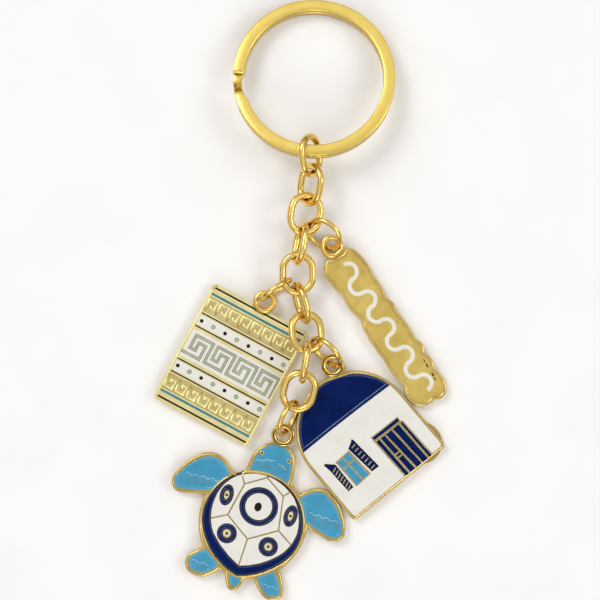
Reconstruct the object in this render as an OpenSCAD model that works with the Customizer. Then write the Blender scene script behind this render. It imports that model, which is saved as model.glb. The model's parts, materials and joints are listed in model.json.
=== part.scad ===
// Souvenir keychain: a split ring, a nine-link chain and four enamelled gold charms on jump rings.
// The whole lies flat on a table: millimetres, Z up, +Y from the charms towards the split ring.

/* [Split ring] */
// Outside diameter of the split ring
ring_d = 29.8; // [26:0.2:34]
// Radial width of the flattened ring wire
ring_w = 2.1; // [1.4:0.1:3]
// Thickness of each of the two turns
ring_turn_t = 1.2; // [0.8:0.1:1.6]
// How far the ring leans, its chain side raised off the table
ring_lean = 10.7; // [0:0.5:20]

/* [Chain] */
// Length of an oval link, outside
link_l = 8.2; // [7:0.1:11]
// Width of an oval link, outside
link_w = 6.8; // [5:0.1:8]
// Diameter of the link wire
link_wire = 1.3; // [0.8:0.1:1.6]
// Outside diameter of a charm's jump ring
jump_d = 7.45; // [6:0.05:9]
// Diameter of the jump ring wire
jump_wire = 0.95; // [0.7:0.05:1.2]

/* [Charms] */
// Thickness of the plate and meander castings
thin_t = 1.6; // [1.2:0.1:2.4]
// Thickness of the house and turtle castings
thick_t = 1.8; // [1.2:0.1:2.6]
// Depth of the cells that hold the enamel
cell_d = 0.35; // [0.2:0.05:0.6]
// How far the enamel stays below the gold walls
enamel_drop = 0.05; // [0:0.01:0.15]
// Diameter of the eyelet wire
eyelet_wire = 1; // [0.7:0.1:1.3]
// Diameter of the hole in an eyelet
eyelet_hole = 2.4; // [2:0.1:3]

/* [Hidden] */
$fn = 64;

gold = [0.86, 0.68, 0.28];
navy = [0.05, 0.1, 0.35];
white = [0.95, 0.94, 0.92];
black = [0.03, 0.03, 0.03];
teal = [0.2, 0.5, 0.55];
sky = [0.2, 0.6, 0.78];
grey = [0.5, 0.52, 0.45];

// Moves everything so that the middle of the outline lies on the origin.
layout_shift = [-0.14, -0.12, 0];

// ---- outlines -------------------------------------------------------------------------------

// Points of the arc from p to q that bows out by s to the right of the way travelled.
function bow(p, q, s) =
  abs(s) < 0.001 ? [p] :
  let (
    chord = norm(q - p),
    r = (chord * chord / 4 + s * s) / (2 * s),
    out = [q[1] - p[1], p[0] - q[0]] / chord,
    c = (p + q) / 2 + out * (s - r),
    start = atan2(p[1] - c[1], p[0] - c[0]),
    sweep = 4 * atan(2 * s / chord),
    n = max(3, ceil(abs(sweep) / 8))
  )
  [for (i = [0:n - 1]) c + abs(r) * [cos(start + sweep * i / n), sin(start + sweep * i / n)]];

// Closed outline, anticlockwise, from corners [x, y, bow of the side that follows].
function bowed(corners) = [
  for (i = [0:len(corners) - 1])
    let (p = corners[i], q = corners[(i + 1) % len(corners)])
      for (point = bow([p[0], p[1]], [q[0], q[1]], p[2])) point
];

module outline(corners) {
  polygon(bowed(corners));
}

module oval(c, rx, ry) {
  polygon([for (a = [0:10:350]) c + [rx * cos(a), ry * sin(a)]]);
}

// A straight stroke of width w from p to q, with square ends.
module stroke(p, q, w) {
  translate((p + q) / 2)
    rotate(atan2(q[1] - p[1], q[0] - p[0]))
      square([norm(q - p) + w, w], center = true);
}

// A line of strokes through the points of a path.
module path(points, w) {
  for (i = [0:len(points) - 2]) stroke(points[i], points[i + 1], w);
}

// ---- placing --------------------------------------------------------------------------------

pitch = link_l - 2 * link_wire - 0.06;

// Unit vector for a heading in the table plane and a rise above it.
function way(heading, rise) = [cos(rise) * cos(heading), cos(rise) * sin(heading), sin(rise)];

module place_charm(spot, turn) {
  translate(layout_shift + spot)
    rotate([0, 0, turn])
      children();
}

// ---- enamel and eyelets ---------------------------------------------------------------------

// Recess cut into a casting of thickness t.
module cell(t) {
  translate([0, 0, t - cell_d])
    linear_extrude(cell_d + 1)
      children();
}

// Enamel that fills the same recess.
module enamel(t) {
  translate([0, 0, t - cell_d])
    linear_extrude(cell_d - enamel_drop)
      children();
}

// Eyelet: two half loops of wire round the hole, on a neck that runs back into the casting.
module eyelet(height, casting_t) {
  loop_r = (eyelet_hole + eyelet_wire) / 2;
  neck_w = 2.2;
  neck_foot = casting_t - 0.8;
  for (turn = [90, 270])
    translate([0, 0, height])
      rotate([0, 0, turn])
        rotate_extrude(angle = 180)
          translate([loop_r, 0])
            circle(d = eyelet_wire);
  translate([-neck_w / 2, -loop_r - 0.62, neck_foot])
    cube([neck_w, 0.71, max(casting_t, height - 0.1) - neck_foot]);
}

// ---- split ring -----------------------------------------------------------------------------

ring_gap = 0.1;
ring_t = 2 * ring_turn_t + ring_gap;
ring_spot = [2.57, 40.8, ring_d / 2 * sin(ring_lean) + ring_t / 2 * cos(ring_lean)];
// The wire steps from the front turn down to the back turn between these angles.
step_start = 181;
step_end = 194;
front_end = 176.5;
back_end = 202;

module ring_turn(from, to, z) {
  rotate([0, 0, from])
    rotate_extrude(angle = to - from)
      translate([ring_d / 2 - ring_w, z])
        square([ring_w, ring_turn_t]);
}

// Sloping piece of wire that joins the two turns. It is a little slimmer than the turns, and
// its ends run into them.
module ring_step() {
  r = ring_d / 2 - ring_w;
  run = (r + ring_w / 2) * (step_end - step_start) * PI / 180;
  slim = 0.03;
  low = ring_gap / 2 + slim;
  high = ring_gap / 2 + ring_turn_t - slim;
  lap = 0.4;
  rotate([0, 0, (step_start + step_end) / 2])
    translate([r + 0.15, 0, 0])
      rotate([90, 0, 90])
        linear_extrude(ring_w - 0.3)
          polygon([
            [-run / 2 - lap, -high],
            [-run / 2, -high],
            [run / 2, low],
            [run / 2 + lap, low],
            [run / 2 + lap, high],
            [run / 2, high],
            [-run / 2, -low],
            [-run / 2 - lap, -low]
          ]);
}

module split_ring() {
  color(gold)
    translate(layout_shift + ring_spot)
      rotate([-ring_lean, 0, 0])
        union() {
          ring_turn(step_end, 360 + front_end, ring_gap / 2);
          ring_turn(back_end - 360, step_start, -ring_gap / 2 - ring_turn_t);
          ring_step();
        }
}

// ---- chain ----------------------------------------------------------------------------------

// How each link lies: heading of its length in the table plane, rise towards its lower end,
// and roll about its length. Neighbours are rolled against each other, as links of a chain are.
link_lie = [
  [-80, -20, -55],
  [-100, -15, 50],
  [-100, 0, -15],
  [-100, 5, 75],
  [-90, -5, -5],
  [-75, -5, 75],
  [-85, 10, -15],
  [-100, 5, 90],
  [-105, -9, 0]
];
// Upper end of the first link, where it hangs on the split ring.
chain_top = [1.5, 29.1, 7.3];

// Point where link i starts, touching the one before it.
function joint_at(i) =
  i == 0 ? chain_top : joint_at(i - 1) + pitch * way(link_lie[i - 1][0], link_lie[i - 1][1]);

// Half of an oval link: one round end and half of each straight side.
module half_link() {
  end_r = (link_w - link_wire) / 2;
  side = (link_l - link_w) / 2;
  translate([side, 0, 0])
    rotate([0, 0, -90])
      rotate_extrude(angle = 180)
        translate([end_r, 0])
          circle(d = link_wire);
  for (y = [-end_r, end_r])
    translate([0, y, 0])
      rotate([0, 90, 0])
        cylinder(d = link_wire, h = side);
}

module link(number) {
  i = number - 1;
  lie = link_lie[i];
  color(gold)
    translate(layout_shift + (joint_at(i) + joint_at(i + 1)) / 2)
      rotate([lie[2], -lie[1], lie[0]])
        union() {
          half_link();
          rotate([0, 0, 180])
            half_link();
        }
}

// ---- jump rings -----------------------------------------------------------------------------

// Each jump ring: the link it hangs on, where round that link's lower end, then how it lies.
plate_hang = [3, 60, [-40, -5, 50]];
meander_hang = [5, -65, [-145, -15, -85]];
house_hang = [7, 55, [-50, -10, 65]];
turtle_hang = [9, -10, [-110, -12, -70]];
// Play between a jump ring and the link it hangs on.
hang_gap = 0.17;

// Centre of the link wire at an angle round the lower end of a link.
function hang_point(number, angle) =
  let (
    lie = link_lie[number - 1],
    along = way(lie[0], lie[1]),
    side = [-sin(lie[0]), cos(lie[0]), 0],
    across = cos(lie[2]) * side + sin(lie[2]) * cross(along, side),
    middle = (joint_at(number - 1) + joint_at(number)) / 2,
    end_r = (link_w - link_wire) / 2
  )
  middle + (link_l - link_w) / 2 * along + end_r * (cos(angle) * along + sin(angle) * across);

module jump_ring(hang) {
  lie = hang[2];
  ring_r = (jump_d - jump_wire) / 2;
  reach = ring_r - jump_wire / 2 - link_wire / 2 - hang_gap;
  color(gold)
    translate(layout_shift + hang_point(hang[0], hang[1]) + reach * way(lie[0], lie[1]))
      rotate([lie[2], -lie[1], lie[0]])
        rotate_extrude()
          translate([ring_r, 0])
            circle(d = jump_wire);
}

module jump_ring_plate() { jump_ring(plate_hang); }
module jump_ring_meander() { jump_ring(meander_hang); }
module jump_ring_house() { jump_ring(house_hang); }
module jump_ring_turtle() { jump_ring(turtle_hang); }

// ---- long plate charm -----------------------------------------------------------------------

plate_spot = [15.83, -4.97, 0];
plate_turn = -56.1;
plate_edge = [
  [-16.4, -0.45, 0.7], [-14.75, -3.8, 0.25], [-12.35, -3.7, 0.3], [-9.8, -3.25, 0.5],
  [-3.6, -2.95, 0.25], [-0.55, -3.6, 0.15], [1.7, -3.65, 0.15], [4.4, -3.55, 0.3],
  [10.9, -3.3, 0.55], [14.9, -3.4, 0.65], [16.1, 0, 0.65], [15.8, 3.1, 0.5],
  [11.4, 3.35, 0.5], [7.7, 3.4, 0.6], [5, 3.45, 0.28], [-1.65, 3.45, 0.45],
  [-4.6, 3.15, 0.35], [-9.1, 3.5, 0.5], [-15.5, 3.2, 0.6]
];
wave_w = 0.8;
wave_r = 1.55;

module half_ring(r, w) {
  intersection() {
    difference() {
      circle(r = r + w / 2);
      circle(r = r - w / 2);
    }
    translate([-2 * r, -0.05])
      square([4 * r, 2 * r]);
  }
}

// Running wave along the plate: half rings that bow up and down in turn.
module wave_line() {
  for (i = [-4:4])
    translate([i * 2 * wave_r, 0.1])
      rotate(i % 2 == 0 ? 0 : 180)
        half_ring(wave_r, wave_w);
}

module plate_casting() {
  color(gold)
    place_charm(plate_spot, plate_turn)
      difference() {
        union() {
          linear_extrude(thin_t)
            outline(plate_edge);
          translate([-18.05, 0.1, 0])
            rotate([0, 0, 90])
              eyelet(1.9, thin_t);
        }
        cell(thin_t)
          wave_line();
      }
}

module plate_wave() {
  color(white)
    place_charm(plate_spot, plate_turn)
      enamel(thin_t)
        wave_line();
}

// ---- meander charm --------------------------------------------------------------------------

meander_spot = [-12.86, -11.91, 0];
meander_turn = -28.25;
meander_w = 19.7;
meander_l = 24;
corner_r = 0.8;
band_w = 18.6;
key_pitch = 4.6;
dot_pitch = 2.455;
dot_y = 4.68;

// A stripe right across the face, centred on height y.
module stripe(y, w) {
  translate([-band_w / 2, y - w / 2])
    square([band_w, w]);
}

module both_ways() {
  children();
  mirror([0, 1])
    children();
}

module meander_shape() {
  x = meander_w / 2;
  y = meander_l / 2;
  r = corner_r;
  nip = r * 0.414;
  outline([
    [-x + r, -y, 0], [x - r, -y, nip * 0.7], [x, -y + r, 0], [x, y - r, nip * 0.7],
    [x - r, y, 0], [-x + r, y, nip * 0.7], [-x, y - r, 0], [-x, -y + r, nip * 0.7]
  ]);
}

// Angular spiral key that runs across the middle band, one unit after another.
module key_line() {
  for (k = [0:3]) {
    x = -band_w / 2 + 0.12 + k * key_pitch;
    path([
      [x, -1.85], [x + 3.5, -1.85], [x + 3.5, 0.85], [x + 2.1, 0.85], [x + 2.1, -0.7],
      [x + 1, -0.7], [x + 1, 1.9], [x + 4.6, 1.9], [x + 4.6, -1.85]
    ], 0.42);
  }
}

// Every second dot of both dotted bands; the first is dot 0 or dot 1.
module dots(first) {
  both_ways()
    for (i = [first:2:7])
      translate([(i - 3.5) * dot_pitch, dot_y])
        circle(d = 0.72);
}

module black_fill() {
  both_ways() {
    stripe(11.28, 0.36);
    stripe(6.05, 0.28);
    stripe(3.45, 0.28);
  }
  dots(0);
}

module teal_fill() {
  both_ways()
    stripe(10.05, 0.46);
}

module grey_fill() {
  intersection() {
    key_line();
    stripe(0, 6);
  }
  dots(1);
}

module white_fill() {
  difference() {
    union() {
      both_ways()
        stripe(4.75, 1.96);
      stripe(0, 5.6);
    }
    grey_fill();
    dots(0);
  }
}

module meander_casting() {
  color(gold)
    place_charm(meander_spot, meander_turn)
      difference() {
        union() {
          linear_extrude(thin_t)
            meander_shape();
          translate([0.05, meander_l / 2 + 1.4, 0])
            eyelet(2.05, thin_t);
        }
        cell(thin_t) {
          both_ways() {
            stripe(11.28, 0.36);
            stripe(10.05, 0.46);
            stripe(6.05, 0.28);
            stripe(4.75, 1.96);
            stripe(3.45, 0.28);
          }
          stripe(0, 5.6);
        }
        // Sunk ground of the two small gold key bands.
        translate([0, 0, thin_t - 0.12])
          linear_extrude(1)
            both_ways()
              stripe(8, 3);
      }
}

module meander_enamel(tint) {
  color(tint)
    place_charm(meander_spot, meander_turn)
      enamel(thin_t)
        children();
}

module meander_black() { meander_enamel(black) black_fill(); }
module meander_teal() { meander_enamel(teal) teal_fill(); }
module meander_white() { meander_enamel(white) white_fill(); }
module meander_grey() { meander_enamel(grey) grey_fill(); }

// ---- house charm ----------------------------------------------------------------------------

house_spot = [12.96, -26.82, 0];
house_turn = 38;
arch_r = 11;
house_edge = [
  [-10.1, -9.15, 0], [10.3, -8.7, 0.25], [11.1, -7.9, 0], [10.65, 3.9, arch_r],
  [-11.35, 3.9, 0], [-10.9, -8.4, 0.25]
];
dome_edge = [[-10.5, 6.6, -0.15], [9.8, 6.6, 7.8]];
wall_edge = [
  [-9.8, -8.65, 0], [9.95, -8.2, 0.2], [10.6, -7.6, 0], [10.15, 3.9, 0.09],
  [9.8, 6.6, 0.15], [-10.5, 6.6, 0.09], [-10.85, 3.9, 0], [-10.4, -8.1, 0.2]
];
door_frame = [[1.05, 1.1], [1.05, 0.05], [1.55, -8.75], [8.25, -8.6], [7.65, 0], [7.3, 0.05], [7.3, 1.1]];
lintel = [[1.2, 0.95], [1.2, 0.25], [7.15, 0.25], [7.15, 0.95]];
door_top = -0.1;
door_foot = -8.5;
// Door boards from left to right: left and right side at the top, then at the foot.
boards = [
  [1.3, 2.1, 1.8, 2.55], [2.35, 3.3, 2.9, 4.05], [3.55, 4.9, 4.4, 5.6],
  [5.2, 6.6, 5.85, 7.05], [6.95, 7.45, 7.35, 8]
];
window_frame = [[-6.95, 1.5], [-6.6, -4.4], [-3.05, -4.15], [-3.65, 1.7]];
glass_corners = [[-6.75, 1.3], [-6.4, -4.2], [-3.4, -4], [-3.95, 1.5]];
left_shutter = [[-9, 2.4], [-8.7, 0.8], [-8.35, -4.2], [-7.1, -4.15], [-7.2, 1.2], [-8.65, 2.5]];
right_shutter = [[-3.55, 2.05], [-2.65, -4], [-1, -4], [-1.75, 2.7], [-2, 3.1], [-2.5, 2.6]];

// Where the side of a board is at height y, from where it is at the door's top and foot.
function board_x(top, foot, y) = top + (foot - top) * (door_top - y) / (door_top - door_foot);

// One door board between two heights.
module board(b, high, low) {
  polygon([
    [board_x(b[0], b[2], high), high], [board_x(b[0], b[2], low), low],
    [board_x(b[1], b[3], low), low], [board_x(b[1], b[3], high), high]
  ]);
}

module door_boards() {
  for (i = [0, 2, 3, 4]) board(boards[i], door_top, door_foot);
  // The second board is crossed by the two bars of the handle.
  board(boards[1], door_top, -4.1);
  board(boards[1], -4.3, -4.85);
  board(boards[1], -5.05, door_foot);
}

// Light slats across a shutter, from height top down to height low.
module slats(x, lean_x, top, low, tilt) {
  count = 7;
  for (i = [0:count - 1])
    translate([x + lean_x * i / count, top + (low - top) * i / (count - 1)])
      rotate(tilt)
        square([0.9, 0.16], center = true);
}

module woodwork_fill() {
  polygon(lintel);
  door_boards();
  difference() {
    polygon(left_shutter);
    slats(-7.95, 0.25, 0.5, -3.7, 25);
  }
  difference() {
    polygon(right_shutter);
    slats(-2.5, 0.65, 1.8, -3.4, 10);
  }
}

// Point inside the window, u across and v down, both from 0 to 1.
function glass_at(u, v) =
  (1 - u) * ((1 - v) * glass_corners[0] + v * glass_corners[1])
  + u * ((1 - v) * glass_corners[3] + v * glass_corners[2]);

module panes_fill() {
  for (u = [[0, 0.46], [0.54, 1]])
    for (v = [[0, 0.28], [0.33, 1]])
      polygon([
        glass_at(u[0], v[0]), glass_at(u[0], v[1]), glass_at(u[1], v[1]), glass_at(u[1], v[0])
      ]);
}

module wall_fill() {
  difference() {
    outline(wall_edge);
    polygon(door_frame);
    polygon(window_frame);
    polygon(left_shutter);
    polygon(right_shutter);
  }
}

module house_casting() {
  color(gold)
    place_charm(house_spot, house_turn)
      difference() {
        union() {
          linear_extrude(thick_t)
            outline(house_edge);
          translate([3.7, 16, 0])
            rotate([0, 0, 18.5])
              eyelet(1.75, thick_t);
          // Round pad on the back, showing past the corner.
          translate([7.75, -5.5, 0])
            cylinder(r = 3.9, h = 0.8);
        }
        cell(thick_t) {
          outline(dome_edge);
          wall_fill();
          woodwork_fill();
          panes_fill();
        }
      }
}

module house_enamel(tint) {
  color(tint)
    place_charm(house_spot, house_turn)
      enamel(thick_t)
        children();
}

module house_dome() { house_enamel(navy) outline(dome_edge); }
module house_wall() { house_enamel(white) wall_fill(); }
module house_woodwork() { house_enamel(navy) woodwork_fill(); }
module house_panes() { house_enamel(sky) panes_fill(); }

// ---- turtle charm ---------------------------------------------------------------------------

turtle_spot = [-7.01, -38.76, 0];
turtle_turn = -17;
turtle_edge = [
  [1.3, 12.6, 0.35], [-1.9, 12.6, 0.2], [-4.5, 10, 0.1], [-5, 6.6, -0.15],
  [-5.8, 5.5, -0.15], [-7, 5.1, -0.15], [-8.9, 6.7, 1], [-14.2, 6.35, 0.4],
  [-17.5, 1.6, 0.9], [-15.6, -1.25, 0], [-10.95, -0.15, 1], [-8.5, -9.75, 0],
  [-9.9, -11, 0.25], [-10.9, -12.8, 0.6], [-8.9, -15, 0.45], [-5.9, -14.3, 0.15],
  [-4.4, -12.7, 0], [-3.2, -13.15, 0.1], [-2.1, -15.4, 0.45], [-0.2, -15.4, 0.1],
  [0.5, -13.3, 0], [2.2, -12.6, 0.1], [4.2, -14.8, 0.4], [6.9, -15.3, 0.45],
  [8.2, -13.6, 0.3], [6.2, -9.8, 0.95], [9, -0.6, 0.05], [13.2, -1.8, 0.7],
  [15.95, 0, 0.25], [14.4, 3.6, 0.35], [11.5, 6.35, 0.5], [8.2, 6.7, 0.15],
  [5.9, 4.9, -0.15], [4.4, 5.7, -0.2], [3.75, 7, 0.1], [3.35, 10, 0.4]
];
head_fill = [
  [3.1, 6.1, 0.05], [2.75, 9.9, 0.3], [0.8, 12.2, 0.3], [-1.6, 12.2, 0.3],
  [-3.75, 10.1, 0.05], [-4.5, 6.2, -0.7]
];
left_flipper = [
  [-7.6, 4.35, 0], [-8.2, 5.25, 0.25], [-10.8, 6.85, 0.35], [-13.9, 5.75, 0.3],
  [-16.75, 2, 0.6], [-16.3, -0.65, 0.1], [-9.75, 0.95, -0.25]
];
right_flipper = [
  [8.15, 0.35, 0], [13.2, -1.2, 0.5], [15.4, 0.2, 0.25], [13.9, 3.2, 0.3],
  [11.2, 5.7, 0.35], [8.6, 6.15, 0.2], [6, 4.05, -0.25]
];
left_paddle = [
  [-7.6, -10, 0.2], [-9.6, -11.4, 0.25], [-10.2, -13, 0.45], [-8.6, -14.35, 0.35],
  [-6.2, -13.6, 0.2], [-4.9, -12, 0]
];
right_paddle = [
  [2.7, -12.1, 0.1], [4.5, -14.3, 0.3], [6.7, -14.65, 0.35], [7.5, -13.4, 0.25],
  [5.3, -10.3, 0]
];
tail_fill = [[-2.3, -13.2, 0.1], [-1.6, -14.8, 0.4], [-0.5, -14.7, 0.1], [0, -13.3, 0]];
shell_edge = [
  [-0.9, 6.6, 0.4], [-6.3, 5.2, 0.5], [-9.9, 0.2, 0.8], [-9.2, -7, 1],
  [-1, -12.9, 0.9], [7.1, -7.3, 0.5], [8.2, -1.5, 0.6], [5, 4.3, 0.5]
];
tile_edge = [
  [-0.9, 6.45, 0.4], [-6.1, 5, 0.7], [-9.1, -0.5, 0.6], [-7.5, -6.7, 0.4],
  [-1.1, -11.2, 0.5], [5.4, -7.3, 0.5], [7.55, -2.2, 0.6], [5, 4, 0.5]
];
// Corners of the six-sided middle tile, and where a seam runs on from each to the rim.
tile_corners = [[-0.85, 6.05], [-4.55, 3.7], [-5.85, -2.65], [-1.05, -5.9], [4, -2.75], [3, 3.6]];
seam_ends = [[-0.85, 6.6], [-5.3, 4.9], [-8.9, -4.3], [-1.2, -11.4], [7, -4.6], [3.95, 4.7]];
seam_w = 0.16;
eye_c = [-0.8, 0.45];
// Small ringed spots on the outer tiles: centre, outer half width and half height.
spots = [
  [[-7.1, 0.8], 1.15, 1.9], [[5.35, 0.5], 1.15, 1.95],
  [[-5, -6], 1.75, 1.75], [[3.05, -6.15], 1.7, 1.7]
];

module seams() {
  for (i = [0:5]) {
    stroke(tile_corners[i], tile_corners[(i + 1) % 6], seam_w);
    stroke(tile_corners[i], seam_ends[i], seam_w);
  }
}

module skin_fill() {
  difference() {
    union() {
      outline(head_fill);
      outline(left_flipper);
      outline(right_flipper);
      outline(left_paddle);
      outline(right_paddle);
      outline(tail_fill);
    }
    outline(shell_edge);
  }
}

module spot_rings() {
  difference() {
    translate(eye_c)
      circle(r = 3.5);
    translate(eye_c)
      circle(r = 2.6);
  }
  for (s = spots)
    difference() {
      oval(s[0], s[1], s[2]);
      oval(s[0], s[1] * 0.52, s[2] * 0.52);
    }
}

module pupil_fill() {
  oval(eye_c - [0.1, 0.1], 0.64, 0.82);
  for (s = spots)
    translate(s[0])
      circle(d = 0.5);
}

module navy_fill() {
  difference() {
    outline(shell_edge);
    outline(tile_edge);
  }
  spot_rings();
}

module shell_fill() {
  difference() {
    outline(tile_edge);
    seams();
    spot_rings();
    pupil_fill();
  }
}

module turtle_casting() {
  color(gold)
    place_charm(turtle_spot, turtle_turn)
      difference() {
        union() {
          linear_extrude(thick_t)
            outline(turtle_edge);
          translate([-0.35, 14.5, 0])
            eyelet(2.24, thick_t);
        }
        cell(thick_t) {
          skin_fill();
          navy_fill();
          shell_fill();
          pupil_fill();
        }
      }
}

module turtle_enamel(tint) {
  color(tint)
    place_charm(turtle_spot, turtle_turn)
      enamel(thick_t)
        children();
}

module turtle_skin() { turtle_enamel(sky) skin_fill(); }
module turtle_shell() { turtle_enamel(white) shell_fill(); }
module turtle_navy() { turtle_enamel(navy) navy_fill(); }
module turtle_pupils() { turtle_enamel(black) pupil_fill(); }

// ---- output ---------------------------------------------------------------------------------

split_ring();
link(1);  // link_1
link(2);  // link_2
link(3);  // link_3
link(4);  // link_4
link(5);  // link_5
link(6);  // link_6
link(7);  // link_7
link(8);  // link_8
link(9);  // link_9
jump_ring_plate();
jump_ring_meander();
jump_ring_house();
jump_ring_turtle();
plate_casting();
plate_wave();
meander_casting();
meander_black();
meander_teal();
meander_white();
meander_grey();
house_casting();
house_dome();
house_wall();
house_woodwork();
house_panes();
turtle_casting();
turtle_skin();
turtle_shell();
turtle_navy();
turtle_pupils();
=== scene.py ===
"""Looks of the souvenir keychain: gold and enamel materials, cast relief, floor, light and camera,
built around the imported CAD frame. Lengths in the shape code are millimetres in a charm's own
coordinates (x right, y towards the eyelet, z up from its back) unless a name says otherwise."""

import json
import math

import bmesh
import bpy
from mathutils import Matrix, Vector


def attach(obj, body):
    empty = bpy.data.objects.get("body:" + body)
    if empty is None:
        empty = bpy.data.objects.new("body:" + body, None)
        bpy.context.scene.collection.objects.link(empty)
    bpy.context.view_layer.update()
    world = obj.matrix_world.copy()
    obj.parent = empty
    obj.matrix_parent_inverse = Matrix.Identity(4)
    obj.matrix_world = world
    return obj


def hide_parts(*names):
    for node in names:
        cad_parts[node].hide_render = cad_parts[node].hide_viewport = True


MM = 0.001

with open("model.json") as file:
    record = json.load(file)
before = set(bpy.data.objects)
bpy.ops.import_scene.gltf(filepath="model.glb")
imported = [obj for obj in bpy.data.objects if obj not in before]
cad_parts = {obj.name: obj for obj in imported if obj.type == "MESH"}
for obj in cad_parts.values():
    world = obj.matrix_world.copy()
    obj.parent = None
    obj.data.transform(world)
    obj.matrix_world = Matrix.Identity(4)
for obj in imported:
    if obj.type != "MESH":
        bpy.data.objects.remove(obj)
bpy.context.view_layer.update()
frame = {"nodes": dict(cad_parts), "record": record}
scene = bpy.context.scene
nodes = frame["nodes"]

# Where each charm lies: centre in the frame (mm) and turn (degrees), as in the CAD.
CHARMS = {
    "plate": ((15.69, -5.09), -56.1),
    "meander": ((-13.0, -12.03), -28.25),
    "house": ((12.82, -26.94), 38.0),
    "turtle": ((-7.15, -38.88), -17.0),
}
THIN_TOP = 1.6
THICK_TOP = 1.8
TOPS = {"plate": THIN_TOP, "meander": THIN_TOP, "house": THICK_TOP, "turtle": THICK_TOP}
ENAMEL_DROP = 0.05  # how far enamel lies below the top of its casting


# ---- camera ---------------------------------------------------------------------------------

CAMERA_HEIGHT = 0.320
PICTURE_WIDTH = 0.1117  # width of table seen by the camera, in metres
AIM = (-0.00014, 0.00004)


def make_camera():
    data = bpy.data.cameras.new("camera")
    data.sensor_width = 36
    data.lens = data.sensor_width * CAMERA_HEIGHT / PICTURE_WIDTH
    data.clip_start = 0.01
    data.clip_end = 10
    camera = bpy.data.objects.new("camera", data)
    camera.location = (AIM[0], AIM[1], CAMERA_HEIGHT)
    scene.collection.objects.link(camera)
    scene.camera = camera


# ---- materials ------------------------------------------------------------------------------
# In this section n stands for a material's shader nodes.


def new_material(name):
    """An empty Principled material: the material, its nodes, its links and its shader."""
    material = bpy.data.materials.new(name)
    material.use_nodes = True
    tree = material.node_tree
    return material, tree.nodes, tree.links, tree.nodes["Principled BSDF"]


def noise(n, links, scale, detail=3.0, roughness=0.5):
    """Noise in object coordinates; scale is in features per metre."""
    coordinates = n.new("ShaderNodeTexCoord")
    texture = n.new("ShaderNodeTexNoise")
    texture.inputs["Scale"].default_value = scale
    texture.inputs["Detail"].default_value = detail
    texture.inputs["Roughness"].default_value = roughness
    links.new(coordinates.outputs["Object"], texture.inputs["Vector"])
    return texture.outputs["Fac"]


def ramp(n, links, fac, stops):
    """Colour ramp through stops of (position, colour)."""
    node = n.new("ShaderNodeValToRGB")
    elements = node.color_ramp.elements
    while len(elements) < len(stops):
        elements.new(0.5)
    for element, (position, colour) in zip(elements, stops):
        element.position = position
        element.color = (*colour, 1)
    links.new(fac, node.inputs["Fac"])
    return node.outputs["Color"]


def spread(n, links, fac, low, high):
    """Maps a 0..1 factor to low..high."""
    node = n.new("ShaderNodeMapRange")
    node.inputs["From Min"].default_value = 0.3
    node.inputs["From Max"].default_value = 0.7
    node.inputs["To Min"].default_value = low
    node.inputs["To Max"].default_value = high
    links.new(fac, node.inputs["Value"])
    return node.outputs["Result"]


def bump(n, links, shader, heights):
    """Chains bump nodes for (factor, height in mm) pairs into the shader's normal."""
    normal = None
    for fac, height in heights:
        node = n.new("ShaderNodeBump")
        node.inputs["Strength"].default_value = 1
        node.inputs["Distance"].default_value = height * MM
        links.new(fac, node.inputs["Height"])
        if normal:
            links.new(normal, node.inputs["Normal"])
        normal = node.outputs["Normal"]
    links.new(normal, shader.inputs["Normal"])


def paint_crevice_shade(n, links, colour, shade):
    """Painted shade: darkens a colour in crevices and where wires touch, the more the closer other
    surfaces hem it in.
    """
    occlusion = n.new("ShaderNodeAmbientOcclusion")
    occlusion.samples = 8
    occlusion.inputs["Distance"].default_value = 0.7 * MM
    closeness = n.new("ShaderNodeMapRange")
    closeness.inputs["From Min"].default_value = 0.35
    closeness.inputs["From Max"].default_value = 0.85
    links.new(occlusion.outputs["AO"], closeness.inputs["Value"])
    mix = n.new("ShaderNodeMix")
    mix.data_type = "RGBA"
    mix.inputs["A"].default_value = (*shade, 1)
    links.new(closeness.outputs["Result"], mix.inputs["Factor"])
    links.new(colour, mix.inputs["B"])
    return mix.outputs["Result"]


def gold(name, light, dark, rough, grain_scale, grain_height, shade=(0.50, 0.29, 0.07)):
    """Gold plating: tone that drifts over the surface, uneven polish, a fine grain, and painted shade
    in its crevices.
    """
    material, n, links, shader = new_material(name)
    shader.inputs["Metallic"].default_value = 1
    tone = ramp(n, links, noise(n, links, 260, 4), [(0.35, dark), (0.65, light)])
    # Painted shade: the tone is darkened towards the shade colour in crevices and where wires touch.
    links.new(paint_crevice_shade(n, links, tone, shade), shader.inputs["Base Color"])
    polish = noise(n, links, 900, 3)
    links.new(spread(n, links, polish, rough[0], rough[1]), shader.inputs["Roughness"])
    grain = noise(n, links, grain_scale, 2)
    wave = noise(n, links, 700, 1)
    bump(n, links, shader, [(wave, 0.003), (grain, grain_height)])
    return material


def enamel(name, light, dark, rough=(0.2, 0.32), gloss=0.3):
    """Soft enamel: slightly clouded pigment under a smooth, faintly wavy glossy skin."""
    material, n, links, shader = new_material(name)
    cloud = ramp(n, links, noise(n, links, 350, 4, 0.6), [(0.35, dark), (0.65, light)])
    links.new(cloud, shader.inputs["Base Color"])
    skin = noise(n, links, 1500, 2)
    links.new(spread(n, links, skin, rough[0], rough[1]), shader.inputs["Roughness"])
    shader.inputs["Specular IOR Level"].default_value = gloss
    bump(n, links, shader, [(noise(n, links, 300, 1), 0.006), (noise(n, links, 3000, 2), 0.0002)])
    return material


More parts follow.
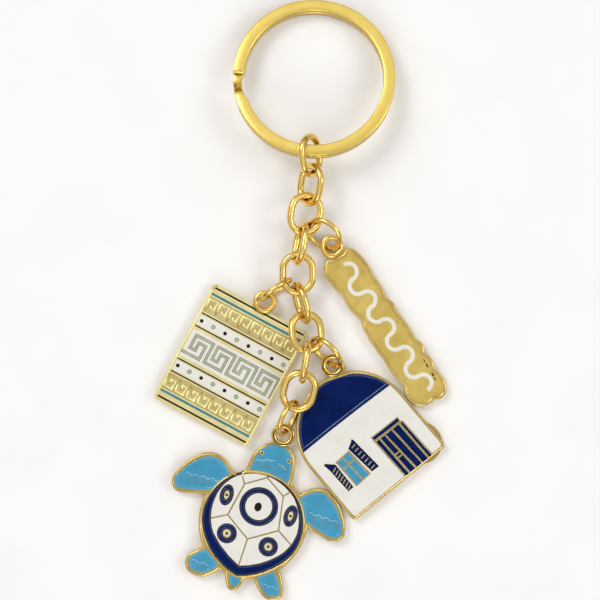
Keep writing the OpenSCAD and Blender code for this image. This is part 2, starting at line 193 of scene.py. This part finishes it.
def make_materials():
    # Colour of the painted shade in the crevices of the darker golds.
    crevice_shade_colour = (0.10, 0.06, 0.015)
    return {
        "polished_gold": gold(
            "polished_gold", (0.92, 0.67, 0.21), (0.85, 0.59, 0.16), (0.19, 0.28), 6000, 0.0005
        ),
        "ring_gold": gold(
            "ring_gold", (0.97, 0.74, 0.19), (0.93, 0.68, 0.16), (0.2, 0.26), 9000, 0.0003
        ),
        # Painted shade: a darker copy of the ring's gold for the wire's upright sides, standing for the
        # shade on them.
        "ring_shaded_side": gold(
            "ring_shaded_side", (0.58, 0.40, 0.10), (0.48, 0.31, 0.06), (0.25, 0.35), 9000, 0.0006
        ),
        "cast_gold": gold(
            "cast_gold", (0.82, 0.63, 0.23), (0.66, 0.48, 0.14), (0.17, 0.27), 5000, 0.0015
        ),
        "pale_gold": gold(
            "pale_gold", (0.93, 0.83, 0.42), (0.86, 0.74, 0.34), (0.38, 0.48), 5000, 0.002,
            (0.40, 0.33, 0.13),
        ),
        "sand_gold": gold(
            "sand_gold", (0.78, 0.59, 0.17), (0.68, 0.49, 0.12), (0.38, 0.5), 6500, 0.006
        ),
        "key_gold": gold(
            "key_gold", (1.0, 0.90, 0.46), (0.96, 0.84, 0.38), (0.34, 0.42), 5000, 0.001,
            (0.42, 0.36, 0.15),
        ),
        # Matt gold of the key ground; its olive darkening is painted shade between the raised keys.
        "ground_shade_gold": gold(
            "ground_shade_gold", (0.70, 0.60, 0.28), (0.54, 0.44, 0.18), (0.45, 0.6), 9000, 0.01,
            crevice_shade_colour,
        ),
        # Painted shade: dark olive gold for the lines along the grey key and the skin, standing for the
        # shade along their walls.
        "olive_shade_gold": gold(
            "olive_shade_gold", (0.25, 0.23, 0.11), (0.17, 0.16, 0.07), (0.4, 0.5), 5000, 0.001,
            crevice_shade_colour,
        ),
        # Painted shade: dark gold for the seams of the shell and the line inside the plate's rim,
        # standing for the shade along them.
        "line_shade_gold": gold(
            "line_shade_gold", (0.52, 0.36, 0.11), (0.34, 0.22, 0.06), (0.3, 0.42), 5000, 0.001,
            crevice_shade_colour,
        ),
        # Painted shade: near-black gold standing for the shade in grooves and pits, in the outline
        # round the shell and in the turtle's dark dots.
        "groove_shade_gold": gold(
            "groove_shade_gold", (0.10, 0.07, 0.02), (0.04, 0.03, 0.01), (0.45, 0.6), 5000, 0.002,
            (0.02, 0.015, 0.005),
        ),
        "white_enamel": enamel("white_enamel", (0.80, 0.79, 0.74), (0.75, 0.74, 0.69)),
        "cream_enamel": enamel("cream_enamel", (0.74, 0.68, 0.50), (0.66, 0.60, 0.42)),
        "navy_enamel": enamel("navy_enamel", (0.002, 0.013, 0.1), (0.0013, 0.009, 0.075), gloss=0.06),
        "navy_edge": enamel(
            "navy_edge", (0.003, 0.02, 0.13), (0.002, 0.014, 0.1), (0.08, 0.14), 0.7
        ),
        "sky_edge": enamel("sky_edge", (0.07, 0.35, 0.54), (0.05, 0.3, 0.48), (0.08, 0.14), 0.9),
        # Painted highlight: a pale navy standing for light caught on the crest of the dome's hem.
        "navy_painted_highlight": enamel(
            "navy_painted_highlight", (0.30, 0.40, 0.62), (0.12, 0.18, 0.40), (0.08, 0.14), 0.6
        ),
        "sky_enamel": enamel("sky_enamel", (0.06, 0.33, 0.52), (0.045, 0.28, 0.46)),
        # Painted highlight: a much lighter sky blue for the skin's ripples, standing for light glinting
        # on them.
        "sky_painted_highlight": enamel(
            "sky_painted_highlight", (0.36, 0.66, 0.80), (0.14, 0.45, 0.64), (0.08, 0.14), 0.6
        ),
        "scratch_grey": enamel("scratch_grey", (0.22, 0.36, 0.36), (0.13, 0.22, 0.22)),
        "black_enamel": enamel("black_enamel", (0.008, 0.007, 0.006), (0.003, 0.003, 0.003)),
        "teal_enamel": enamel("teal_enamel", (0.05, 0.25, 0.32), (0.04, 0.19, 0.25)),
        "grey_enamel": enamel("grey_enamel", (0.50, 0.54, 0.40), (0.40, 0.44, 0.31)),
    }


# ---- mesh helpers ---------------------------------------------------------------------------


def to_frame(charm, x, y, z):
    """A point of a charm, in millimetres, as a place in the frame, in metres."""
    (cx, cy), turn = CHARMS[charm]
    a = math.radians(turn)
    return Vector(
        (
            (cx + x * math.cos(a) - y * math.sin(a)) * MM,
            (cy + x * math.sin(a) + y * math.cos(a)) * MM,
            z * MM,
        )
    )


def add_object(name, mesh_data, body, material, smooth=True):
    """Links a finished bmesh as a piece that rides on a body."""
    bmesh.ops.recalc_face_normals(mesh_data, faces=mesh_data.faces)
    mesh = bpy.data.meshes.new(name)
    mesh_data.to_mesh(mesh)
    mesh_data.free()
    for polygon in mesh.polygons:
        polygon.use_smooth = smooth
    mesh.materials.append(material)
    piece = bpy.data.objects.new(name, mesh)
    scene.collection.objects.link(piece)
    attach(piece, body)
    return piece


def dome_profile(width, low, high, steps=6):
    """Half-round ridge section: (offset across, height) from one foot to the other."""
    points = [(-width / 2, low)]
    for i in range(steps + 1):
        a = math.pi * (1 - i / steps)
        points.append((width / 2 * math.cos(a), low + (high - low) * (0.25 + 0.75 * math.sin(a))))
    points.append((width / 2, low))
    return points


def mitre(before, here, after):
    """Unit offset to the left of a path at a corner, lengthened so that the width stays."""
    a = (here - before).normalized() if before is not None else None
    b = (after - here).normalized() if after is not None else None
    a = a if a is not None else b
    b = b if b is not None else a
    left = Vector((-(a.y + b.y), a.x + b.x))
    if left.length < 1e-6:
        return Vector((-a.y, a.x))
    left.normalize()
    return left / max(0.45, left.dot(Vector((-a.y, a.x))))


def sweep(mesh_data, charm, path, profile, closed=False):
    """Sweeps a section of (offset, height) along a path of the charm's plane."""
    points = [Vector(p) for p in path]
    count = len(points)
    rows = []
    for i, here in enumerate(points):
        before = points[i - 1] if closed or i > 0 else None
        after = points[(i + 1) % count] if closed or i < count - 1 else None
        side = mitre(before, here, after)
        rows.append(
            [
                mesh_data.verts.new(to_frame(charm, here.x + side.x * w, here.y + side.y * w, z))
                for w, z in profile
            ]
        )
    last = count if closed else count - 1
    for i in range(last):
        row, following = rows[i], rows[(i + 1) % count]
        for k in range(len(profile)):
            m = (k + 1) % len(profile)
            mesh_data.faces.new((row[k], following[k], following[m], row[m]))
    if not closed:
        mesh_data.faces.new(rows[0])
        mesh_data.faces.new(rows[-1])


def ridges(name, charm, paths, width, low, high, material, closed=False):
    """One piece made of rounded ridges along several paths."""
    mesh_data = bmesh.new()
    for path in paths:
        sweep(mesh_data, charm, path, dome_profile(width, low, high), closed)
    return add_object(name, mesh_data, charm, material)


def circle_path(centre, radius_x, radius_y=None, steps=40):
    radius_y = radius_y or radius_x
    return [
        (
            centre[0] + radius_x * math.cos(2 * math.pi * i / steps),
            centre[1] + radius_y * math.sin(2 * math.pi * i / steps),
        )
        for i in range(steps)
    ]


# Eyelets: centre, height of the wire's middle, reach of the neck from the centre, and whether the
# face has a groove.
EYELETS = {
    "plate": ((-18.05, 0.1), 1.9, 2.3, False),
    "meander": ((0.05, 13.4), 2.05, 2.7, False),
    "house": ((3.7, 16), 1.75, 2.9, True),
    "turtle": ((-0.35, 14.5), 2.24, 2.7, True),
}
EYELET_WIRE = 1.0
EYELET_MIDDLE = 1.7  # radius of the wire's middle
EYELET_SKIN = 0.012  # how far the polished skin lies outside the CAD's wire


# ---- borders read from the CAD --------------------------------------------------------------

FEWEST_CORNERS = 3  # a closed border needs a triangle; plain rectangles have four


def to_charm(charm, point):
    """A place in the frame, in metres, as a flat point of a charm, in millimetres."""
    (cx, cy), turn = CHARMS[charm]
    a = math.radians(turn)
    dx, dy = point.x / MM - cx, point.y / MM - cy
    return Vector((dx * math.cos(a) + dy * math.sin(a), -dx * math.sin(a) + dy * math.cos(a)))


def border_steps(mesh, height):
    """Directed edges that bound the upward faces of a mesh at a height in millimetres."""
    steps = {}
    places = {}
    for polygon in mesh.polygons:
        corners = [mesh.vertices[i].co for i in polygon.vertices]
        if polygon.normal.z < 0.9 or any(abs(c.z / MM - height) > 0.01 for c in corners):
            continue
        keys = [(round(c.x / MM, 3), round(c.y / MM, 3)) for c in corners]
        places.update(zip(keys, corners))
        for start, end in zip(keys, keys[1:] + keys[:1]):
            if (end, start) in steps:
                del steps[(end, start)]
            else:
                steps[(start, end)] = True
    return list(steps), places


def top_borders(node, charm, height):
    """Closed borders of a node's top, in charm millimetres, with the surface on their left."""
    steps, places = border_steps(nodes[node].data, height)
    following = {}
    for start, end in steps:
        following.setdefault(start, []).append(end)
    borders = []
    while following:
        start = next(iter(following))
        here, border = start, []
        while here in following:
            border.append(to_charm(charm, places[here]))
            ends = following[here]
            onward = ends.pop()
            if not ends:
                del following[here]
            here = onward
        border = thin_out(border)
        if len(border) >= FEWEST_CORNERS:
            borders.append(border)
    return borders


def thin_out(border, least=0.09):
    """Drops points of a closed border that lie closer together than least."""
    kept = [border[0]]
    for point in border[1:]:
        if (point - kept[-1]).length > least:
            kept.append(point)
    while len(kept) > 2 and (kept[0] - kept[-1]).length < least:
        kept.pop()
    return kept


def area(border):
    pairs = zip(border, border[1:] + border[:1])
    return sum(p.x * q.y - q.x * p.y for p, q in pairs) / 2


def outer_border(node, charm, height):
    return max(top_borders(node, charm, height), key=area)


def along_borders(name, charm, borders, profile, material):
    """One piece: a section swept along several closed borders; offsets run inwards."""
    mesh_data = bmesh.new()
    for border in borders:
        sweep(mesh_data, charm, border, profile, closed=True)
    return add_object(name, mesh_data, charm, material)


def rim_profile(width, top, rise):
    """Polished edge of a casting, from its outer side over a soft crown to its inner foot."""
    return [
        (0.02, top - 0.5),
        (0.02, top - 0.14),
        (0.06, top - 0.03),
        (0.3 * width, top + 0.7 * rise),
        (0.55 * width, top + rise),
        (0.8 * width, top + 0.7 * rise),
        (0.95 * width, top - 0.01),
        (0.95 * width, top - 0.5),
    ]


def meniscus_profile(top, reach=0.42):
    """Enamel that climbs towards the wall of its cell."""
    return [
        (-0.02, top - 0.25),
        (-0.02, top),
        (0.2 * reach, top - 0.02),
        (0.45 * reach, top - 0.038),
        (0.75 * reach, top - 0.047),
        (reach, top - 0.051),
        (reach, top - 0.25),
    ]


def past_eyelet(charm, border):
    """The border without its detour round the foot of the eyelet's neck."""
    centre, _, reach, _ = EYELETS[charm]
    return [point for point in border if (point - Vector(centre)).length > reach]


def make_rims(materials):
    finish = {"plate": "cast_gold", "meander": "pale_gold", "house": "cast_gold", "turtle": "cast_gold"}
    width = {"plate": 0.6, "meander": 0.5, "house": 0.38, "turtle": 0.4}
    for charm, top in TOPS.items():
        border = past_eyelet(charm, outer_border(charm + "_casting", charm, top))
        profile = rim_profile(width[charm], top, 0.07)
        along_borders(charm + "_rim", charm, [border], profile, materials[finish[charm]])


def make_menisci(materials):
    """Enamel edges of the large glossy fields."""
    fields = {
        "house_dome": ("navy_edge", "navy_enamel"),
        "turtle_navy": ("navy_edge", "navy_enamel"),
        "turtle_skin": ("sky_edge", "sky_enamel"),
    }
    for node, (finish, slot) in fields.items():
        charm = node.split("_")[0]
        borders = top_borders(node, charm, TOPS[charm] - ENAMEL_DROP)
        profile = meniscus_profile(TOPS[charm], 0.3 if node == "turtle_navy" else 0.45)
        along_borders(node + "_edge", charm, borders, profile, materials[finish])


def make_wires(materials):
    """Thin gold walls that show between neighbouring fields of enamel; the line, olive and groove golds
    among them are darkened as painted shade.
    """
    wires = {
        "turtle_shell": ("line_shade_gold", 0.11, 0.03),
        "turtle_navy": ("groove_shade_gold", 0.28, 0.04),
        "turtle_skin": ("olive_shade_gold", 0.1, 0.0),
        "house_woodwork": ("pale_gold", 0.08, 0.03),
        "house_panes": ("pale_gold", 0.08, 0.03),
        "meander_grey": ("olive_shade_gold", 0.14, 0.02),
        "meander_black": ("pale_gold", 0.05, 0.02),
        "meander_teal": ("pale_gold", 0.05, 0.02),
        "plate_wave": ("pale_gold", 0.14, 0.03),
    }
    for node, (finish, width, rise) in wires.items():
        charm = node.split("_")[0]
        top = TOPS[charm]
        borders = top_borders(node, charm, top - ENAMEL_DROP)
        profile = dome_profile(width, top - 0.2, top + rise, 4)
        along_borders(node + "_wire", charm, borders, profile, materials[finish])


# ---- relief of each charm -------------------------------------------------------------------


def arc(centre, radius, start, end, steps=12):
    """Points of an arc between two angles in degrees."""
    return [
        (
            centre[0] + radius * math.cos(math.radians(start + (end - start) * i / steps)),
            centre[1] + radius * math.sin(math.radians(start + (end - start) * i / steps)),
        )
        for i in range(steps + 1)
    ]


STUD_SIDES = 16
STUD_RINGS = 4


def studs(name, charm, places, height, material):
    """Low oval domes at (x, y, half length, half width) places, long way along x."""
    mesh_data = bmesh.new()
    for x, y, half_length, half_width in places:
        rows = []
        for ring in range(STUD_RINGS):
            a = math.pi / 2 * ring / STUD_RINGS
            spread_by, rise = math.cos(a), height * math.sin(a)
            path = circle_path((x, y), half_length * spread_by, half_width * spread_by, STUD_SIDES)
            z = TOPS[charm] - ENAMEL_DROP + rise
            rows.append([mesh_data.verts.new(to_frame(charm, px, py, z)) for px, py in path])
        crown = mesh_data.verts.new(to_frame(charm, x, y, TOPS[charm] - ENAMEL_DROP + height))
        for row, following in zip(rows, rows[1:]):
            for k in range(STUD_SIDES):
                m = (k + 1) % STUD_SIDES
                mesh_data.faces.new((row[k], row[m], following[m], following[k]))
        for k in range(STUD_SIDES):
            mesh_data.faces.new((rows[-1][k], rows[-1][(k + 1) % STUD_SIDES], crown))
        mesh_data.faces.new(rows[0])
    return add_object(name, mesh_data, charm, material)


def lathe(mesh_data, charm, centre, section, steps=56):
    """Turns a closed section of (radius, height) points round an upright axis of a charm."""
    rows = []
    for i in range(steps):
        a = 2 * math.pi * i / steps
        rows.append(
            [
                mesh_data.verts.new(
                    to_frame(charm, centre[0] + r * math.cos(a), centre[1] + r * math.sin(a), z)
                )
                for r, z in section
            ]
        )
    for i in range(steps):
        row, following = rows[i], rows[(i + 1) % steps]
        for k in range(len(section)):
            m = (k + 1) % len(section)
            mesh_data.faces.new((row[k], row[m], following[m], following[k]))


def make_eyelets(materials):
    """Polished skin of each eyelet, and in the faces of the two large ones a ridge of near-black gold
    that paints the shade of a groove.
    """
    for charm, (centre, height, _, grooved) in EYELETS.items():
        wire = EYELET_WIRE / 2 + EYELET_SKIN
        section = [
            (EYELET_MIDDLE + wire * math.cos(a), height + wire * math.sin(a))
            for a in (2 * math.pi * k / 20 for k in range(20))
        ]
        skin = bmesh.new()
        lathe(skin, charm, centre, section)
        add_object(charm + "_eyelet_skin", skin, charm, materials["polished_gold"])
        if not grooved:
            continue
        face = height + wire
        section = [
            (EYELET_MIDDLE + 0.06 + x, z) for x, z in dome_profile(0.3, face - 0.1, face + 0.03, 4)
        ]
        groove = bmesh.new()
        lathe(groove, charm, centre, section)
        add_object(charm + "_eyelet_groove", groove, charm, materials["groove_shade_gold"])


WAVE_PITCH = 3.1
WAVE_RADIUS = 1.55


def make_plate_relief(materials):
    """Rounded white wave, a dark line inside the rim and a few dark casting pits near the free end, the
    line and pits painted shade.
    """
    wave = []
    for i in range(-4, 5):
        centre = (i * WAVE_PITCH, 0.1)
        bow = arc(centre, WAVE_RADIUS, 180, 0 if i % 2 == 0 else 360)
        wave += bow if not wave else bow[1:]
    ridges(
        "plate_wave_bead", "plate", [wave], 0.7, THIN_TOP - 0.15, THIN_TOP + 0.03,
        materials["white_enamel"],
    )
    inside = past_eyelet("plate", outer_border("plate_casting", "plate", THIN_TOP))
    # The line inside the rim is dark gold as painted shade.
    line = [(x + 0.64, z) for x, z in dome_profile(0.1, THIN_TOP - 0.1, THIN_TOP + 0.015, 4)]
    along_borders("plate_inner_line", "plate", [inside], line, materials["line_shade_gold"])
    pits = [(9.1, 2.55, 0.5, 0.15), (10.1, 2.5, 0.6, 0.22), (12.1, 2.45, 0.55, 0.22)]
    pits += [(12.95, 2.3, 0.35, 0.2)]
    studs("plate_pits", "plate", pits, 0.08, materials["groove_shade_gold"])


BAND_REACH = 9.2  # half length of a gold band
BAND_MIDDLE = 8  # distance of a band's middle from the charm's middle
KEY_COUNT = 8
KEY_PITCH = 2.33
SMALL_KEY = [(0, -1.1), (0, 1.1), (1.7, 1.1), (1.7, -0.5), (0.85, -0.5), (0.85, 0.35)]


def make_meander_relief(materials):
    """Small raised keys in the two gold bands, and the matt ground under them, darkened to olive as
    painted shade.
    """
    units = []
    for side in (1, -1):
        for k in range(KEY_COUNT):
            x = -BAND_REACH + k * KEY_PITCH
            units.append([(x + u, side * BAND_MIDDLE + side * v) for u, v in SMALL_KEY])
    ridges(
        "meander_small_keys", "meander", units, 0.4, THIN_TOP - 0.2, THIN_TOP + 0.02,
        materials["key_gold"],
    )
    section = [(-1.45, 1.44), (-1.45, 1.49), (1.45, 1.49), (1.45, 1.44)]
    mesh_data = bmesh.new()
    for side in (1, -1):
        y = BAND_MIDDLE * side
        sweep(mesh_data, "meander", [(-BAND_REACH, y), (BAND_REACH, y)], section)
    add_object(
        "meander_key_ground", mesh_data, "meander", materials["ground_shade_gold"], smooth=False
    )


def make_house_relief(materials):
    """Raised navy hem along the foot of the dome, with a pale crest on it as a painted highlight."""
    hem = [(-10.3, 6.95), (-5, 7.02), (0, 7.04), (5, 7.02), (9.5, 6.95)]
    ridges(
        "house_dome_hem", "house", [hem], 0.5, THICK_TOP - 0.2, THICK_TOP + 0.04,
        materials["navy_enamel"],
    )
    # The crest is drawn in pale navy as a painted highlight.
    crest = [(x, y + 0.22) for x, y in hem]
    ridges(
        "house_dome_crest", "house", [crest], 0.17, THICK_TOP - 0.2, THICK_TOP + 0.06,
        materials["navy_painted_highlight"],
    )


PAD_SPOT = (7.75, -5.5)


def make_back_pad(materials):
    """Rounded edge of the pad behind the house's corner."""
    section = [(3.0, 0.04), (3.8, 0.04), (3.92, 0.2), (3.92, 0.6), (3.8, 0.78), (3.0, 0.82)]
    mesh_data = bmesh.new()
    lathe(mesh_data, "house", PAD_SPOT, section)
    add_object("house_pad_edge", mesh_data, "house", materials["pale_gold"])


def strokes(start, step, count, length, lean):
    """A row of short slanting strokes."""
    return [
        [
            (start[0] + i * step[0], start[1] + i * step[1]),
            (start[0] + i * step[0] + lean, start[1] + i * step[1] - length * (0.7 + 0.3 * (i % 2))),
        ]
        for i in range(count)
    ]


def wavelet(start, end, waves, height):
    """A line that ripples from start to end."""
    steps = waves * 6
    return [
        (
            start[0] + (end[0] - start[0]) * i / steps,
            start[1] + (end[1] - start[1]) * i / steps + height * math.sin(2 * math.pi * i / 6),
        )
        for i in range(steps + 1)
    ]


# Ringed spots on the shell: centre, half width and half height of the cream heart.
SPOTS = [
    ((-7.1, 0.8), 0.46, 0.78),
    ((5.35, 0.5), 0.46, 0.8),
    ((-5, -6), 0.72, 0.72),
    ((3.05, -6.15), 0.7, 0.7),
]


def make_turtle_relief(materials):
    """Ripples and scratches of the skin, eyes and the spots on the shell; the ripples are lighter blue
    as a painted highlight.
    """
    low, high = THICK_TOP - 0.2, THICK_TOP + 0.08
    folds = [
        wavelet((-3.8, 8.5), (-0.6, 9.5), 2, 0.12) + wavelet((-0.4, 9.5), (2.3, 8.4), 2, 0.12),
        wavelet((-15.6, 2.5), (-9.4, 2.9), 4, 0.22),
        wavelet((8.4, 2.1), (14.6, 1.9), 4, 0.2),
        wavelet((-9.7, -12.6), (-6.2, -12.6), 2, 0.18),
        wavelet((4.2, -13.1), (7, -13.1), 2, 0.15),
    ]
    # The ripples carry the lighter blue of the painted highlight.
    ridges("turtle_folds", "turtle", folds, 0.23, low, high, materials["sky_painted_highlight"])
    scratches = (
        strokes((-3.4, 8.4), (0.42, 0.06), 14, 1.3, 0.15)
        + strokes((-15.6, 2.2), (0.5, 0.06), 13, 1.5, 0.2)
        + strokes((8.9, 1.8), (0.5, 0.0), 12, 1.5, 0.2)
        + strokes((-9.4, -12.9), (0.45, 0.05), 7, 0.8, 0.1)
        + strokes((4.6, -13.3), (0.45, 0.0), 6, 0.7, 0.1)
    )
    ridges(
        "turtle_scratches", "turtle", scratches, 0.18, low, THICK_TOP,
        materials["scratch_grey"],
    )
    eyes = [(-3.1, 10.15, 0.42, 0.42), (2.1, 10.1, 0.4, 0.4)]
    studs("turtle_eyes", "turtle", eyes, 0.09, materials["cast_gold"])
    # The dark dots are in the near-black gold of painted shade.
    dots = [(-3.1, 10.15, 0.24, 0.24), (2.1, 10.1, 0.24, 0.24), (-0.7, 6.3, 0.16, 0.12)]
    studs("turtle_dark_dots", "turtle", dots, 0.14, materials["groove_shade_gold"])
    rings = [circle_path(centre, rx, ry, 28) for centre, rx, ry in SPOTS]
    ridges(
        "turtle_spot_rings", "turtle", rings, 0.13, low, THICK_TOP,
        materials["cast_gold"], closed=True,
    )
    hearts = [(x, y, rx - 0.04, ry - 0.04) for (x, y), rx, ry in SPOTS]
    studs("turtle_spot_hearts", "turtle", hearts, 0.02, materials["cream_enamel"])
    pupils = [(x, y, 0.2, 0.22) for (x, y), _, _ in SPOTS]
    studs("turtle_spot_pupils", "turtle", pupils, 0.06, materials["black_enamel"])


# ---- split ring -----------------------------------------------------------------------------

RING_SPOT = (2.43, 40.68)  # centre of the ring in the frame
RING_OUTSIDE = 14.9  # outside radius
RING_WIDTH = 2.1
RING_TURN = 1.2
RING_GAP = 0.1
RING_LEAN = math.radians(10.7)
# Angles in degrees: where the wire steps between its turns, where its inner edge is pinched by
# that bend, and where its two ends are.
STEP_START = 181
STEP_END = 194
PINCH_START = STEP_START - 6
PINCH_END = 200
PINCH_DEPTH = 0.5
FRONT_END = 176.5
BACK_END = 202


def ring_height(angle):
    """Height of the wire's middle: the back turn, a smooth step up, then the front turn."""
    half = (RING_TURN + RING_GAP) / 2
    t = min(1, max(0, (angle - STEP_START) / (STEP_END - STEP_START)))
    return half * (2 * (3 * t * t - 2 * t * t * t) - 1)


def ring_pinch(angle):
    """How far the wire's inner edge stands back where it bends from one turn to the other."""
    if angle < PINCH_START or angle > PINCH_END:
        return 0
    rise = min(1, (angle - PINCH_START) / 4)
    fall = min(1, (PINCH_END - angle) / 8)
    return PINCH_DEPTH * min(rise, fall)


def rounded_section(width, height, corner, steps=3):
    """Rounded rectangle of (across, up) points round its middle."""
    points = []
    for i, (sx, sy) in enumerate(((1, 1), (-1, 1), (-1, -1), (1, -1))):
        for k in range(steps + 1):
            a = math.pi / 2 * (i + k / steps)
            points.append(
                (
                    sx * (width / 2 - corner) + corner * math.cos(a),
                    sy * (height / 2 - corner) + corner * math.sin(a),
                )
            )
    return points


def make_split_ring(materials):
    """One flattened wire, wound twice, with rounded edges and a smooth step between its turns."""
    lift = RING_OUTSIDE * math.sin(RING_LEAN) + (RING_TURN + RING_GAP / 2) * math.cos(RING_LEAN)
    centre = Vector((*RING_SPOT, lift)) * MM
    section = rounded_section(RING_WIDTH, RING_TURN, 0.22)
    start, end, steps = BACK_END - 360, FRONT_END + 360, 300
    middle = RING_OUTSIDE - RING_WIDTH / 2
    mesh_data = bmesh.new()
    rows = []
    for i in range(steps + 1):
        angle = start + (end - start) * i / steps
        a = math.radians(angle)
        rise = ring_height(angle)
        pinch = ring_pinch(angle)
        row = []
        for across, up in section:
            r = middle + across + pinch * (0.5 - across / RING_WIDTH)
            x, y, z = r * math.cos(a), r * math.sin(a), rise + up
            row.append(
                mesh_data.verts.new(
                    centre
                    + Vector(
                        (
                            x,
                            y * math.cos(RING_LEAN) + z * math.sin(RING_LEAN),
                            -y * math.sin(RING_LEAN) + z * math.cos(RING_LEAN),
                        )
                    )
                    * MM
                )
            )
        rows.append(row)
    for row, following in zip(rows, rows[1:]):
        for k in range(len(section)):
            m = (k + 1) % len(section)
            face = mesh_data.faces.new((row[k], following[k], following[m], row[m]))
            # Upright sides take the second slot, the darker copy of the gold that paints their shade.
            face.material_index = 1 if abs(section[k][0] - section[m][0]) < 0.01 else 0
    mesh_data.faces.new(rows[0])
    mesh_data.faces.new(rows[-1])
    ring = add_object("split_ring_wire", mesh_data, "ring", materials["ring_gold"])
    ring.data.materials.append(materials["ring_shaded_side"])
    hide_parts("split_ring")


# ---- carried-over CAD nodes -----------------------------------------------------------------


# Finishes of the castings and the ring that differ from their record's slot.
FINISHES = {"plate_casting": "sand_gold", "meander_casting": "pale_gold", "split_ring": "ring_gold"}


def dress_nodes(materials):
    """Gives every carried-over CAD node its material."""
    for record in frame["record"]["subparts"]:
        name = record["node"]
        node = nodes[name]
        node.data.materials.clear()
        node.data.materials.append(materials[FINISHES.get(name, record["material_slot"])])


# ---- stage ----------------------------------------------------------------------------------


def make_floor():
    mesh_data = bmesh.new()
    bmesh.ops.create_grid(mesh_data, x_segments=1, y_segments=1, size=0.6)
    mesh = bpy.data.meshes.new("floor")
    mesh_data.to_mesh(mesh)
    mesh_data.free()
    material, n, links, shader = new_material("floor_paper")
    paper = ramp(n, links, noise(n, links, 60, 2), [(0.4, (0.9, 0.9, 0.9)), (0.6, (0.92, 0.92, 0.92))])
    links.new(paper, shader.inputs["Base Color"])
    shader.inputs["Roughness"].default_value = 0.9
    shader.inputs["Specular IOR Level"].default_value = 0.1
    mesh.materials.append(material)
    floor = bpy.data.objects.new("floor", mesh)
    floor.location.z = -0.05 * MM
    scene.collection.objects.link(floor)


def make_world():
    """Soft studio: a bright band round a dimmer ceiling, dark and warm towards the horizon."""
    world = bpy.data.worlds.new("studio")
    world.use_nodes = True
    scene.world = world
    n, links = world.node_tree.nodes, world.node_tree.links
    coordinates = n.new("ShaderNodeTexCoord")
    split = n.new("ShaderNodeSeparateXYZ")
    links.new(coordinates.outputs["Generated"], split.inputs["Vector"])
    sky = ramp(
        n,
        links,
        split.outputs["Z"],
        [
            (0.0, (0.10, 0.06, 0.03)),
            (0.25, (0.22, 0.15, 0.09)),
            (0.5, (0.75, 0.73, 0.70)),
            (0.88, (0.95, 0.95, 0.95)),
            (0.97, (0.62, 0.62, 0.63)),
            (1.0, (0.42, 0.42, 0.43)),
        ],
    )
    links.new(sky, n["Background"].inputs["Color"])
    n["Background"].inputs["Strength"].default_value = 0.95


def area_light(name, place, size, power, colour=(1, 1, 1)):
    """Square soft box in metres, aimed at the middle of the object."""
    data = bpy.data.lights.new(name, "AREA")
    data.size = size
    data.energy = power
    data.color = colour
    light = bpy.data.objects.new(name, data)
    light.location = place
    light.rotation_euler = (-Vector(place)).to_track_quat("-Z", "Y").to_euler()
    scene.collection.objects.link(light)


def make_lights():
    area_light("key", (-0.35, 0.35, 0.6), 0.3, 1.7)
    area_light("fill", (0.5, 0.0, 0.45), 0.25, 0.7)
    area_light("low", (0.0, -0.6, 0.35), 0.25, 0.7)


# ---- everything -----------------------------------------------------------------------------

make_camera()
materials = make_materials()
dress_nodes(materials)
make_split_ring(materials)
make_rims(materials)
make_menisci(materials)
make_wires(materials)
make_eyelets(materials)
make_plate_relief(materials)
make_meander_relief(materials)
make_house_relief(materials)
make_back_pad(materials)
make_turtle_relief(materials)
make_floor()
make_world()
make_lights()
scene.view_settings.view_transform = "Standard"
